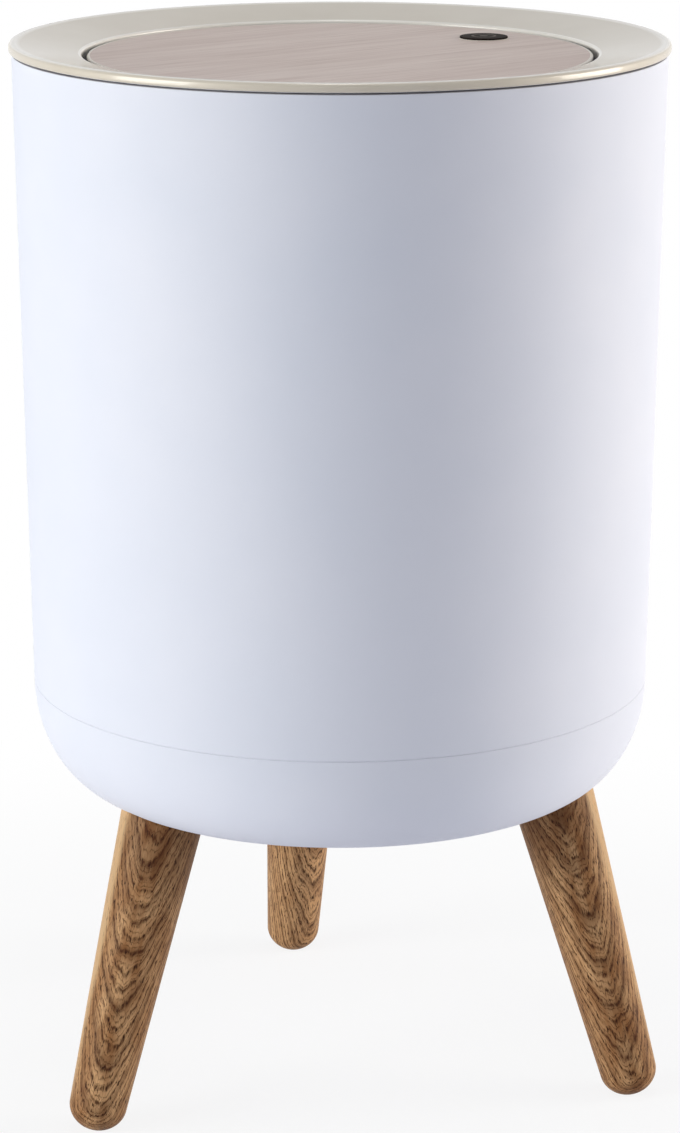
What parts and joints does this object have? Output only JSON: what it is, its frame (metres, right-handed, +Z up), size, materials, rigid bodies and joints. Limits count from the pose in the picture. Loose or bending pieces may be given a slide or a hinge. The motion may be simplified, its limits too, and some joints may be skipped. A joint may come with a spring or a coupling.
{
  "type": "push top countertop bin",
  "caption": "Small round bin on splayed turned wooden legs, with a tapered matt shell, dished trim ring, press-to-open hinged flap and lift-out liner.",
  "frame": {"origin": "on the bin's axis, at the level that the three feet stand on", "axes": "+Z up, +Y to the rear, where the flap is hinged; the push mark is at -Y"},
  "size_m": [0.235, 0.2416, 0.385],
  "materials": {
    "shell_white": "fine matt moulded",
    "liner_grey": "moulded, satin",
    "ring_champagne": "satin champagne",
    "frame_white": "moulded, satin",
    "flap_wood_print": "printed pale wood grain, satin",
    "badge_dark": "semi-gloss",
    "leg_wood": "turned and oiled",
    "brass": "turned",
    "zinc_steel": "zinc plated",
    "spring_steel": "drawn wire",
    "latch_grey": "moulded acetal",
    "jaw_white": "moulded acetal",
    "buffer_rubber": "soft moulded"
  },
  "bodies": {
    "body": {"outer_barrel": "shell_white", "base_bowl": "shell_white", "leg_rear": "leg_wood", "leg_front_left": "leg_wood", "leg_front_right": "leg_wood", "leg_studs": "zinc_steel", "leg_inserts": "brass"},
    "liner": {"liner_bucket": "liner_grey"},
    "lid": {"lid_ring": "ring_champagne", "lid_underframe": "frame_white", "ring_screws": "zinc_steel", "flap_buffers": "buffer_rubber", "hinge_pin": "zinc_steel", "hinge_spring": "spring_steel", "latch_housing": "latch_grey", "latch_spring": "spring_steel", "latch_cam_pin": "spring_steel", "latch_screws": "zinc_steel"},
    "flap": {"flap_panel": "flap_wood_print", "flap_tray": "frame_white", "push_badge": "badge_dark", "flap_screws": "zinc_steel", "latch_striker": "jaw_white", "striker_screws": "zinc_steel"},
    "latch": {"latch_slider": "jaw_white", "latch_jaws": "jaw_white"}
  },
  "joints": [
    {"name": "liner_lift", "type": "slide", "parent": "body", "child": "liner", "axis": [0, 0, 1], "range_m": [0, 0.25]},
    {"name": "lid_lift", "type": "slide", "parent": "liner", "child": "lid", "axis": [0, 0, 1], "range_m": [0, 0.07]},
    {"name": "flap_hinge", "type": "hinge", "parent": "lid", "child": "flap", "pos_m": [0, 0.1027, 0.3709], "axis": [-1, 0, 0], "range_deg": [-0.8, 80], "stiffness_Nm_per_rad": 0.05, "springref_deg": 151.26, "deforming": ["hinge_spring"]},
    {"name": "latch_slide", "type": "slide", "parent": "lid", "child": "latch", "axis": [0, 0, 1], "range_m": [-0.0026, 0.005], "stiffness_N_per_m": 150, "deforming": ["latch_spring", "latch_jaws", "latch_cam_pin"]}
  ]
}
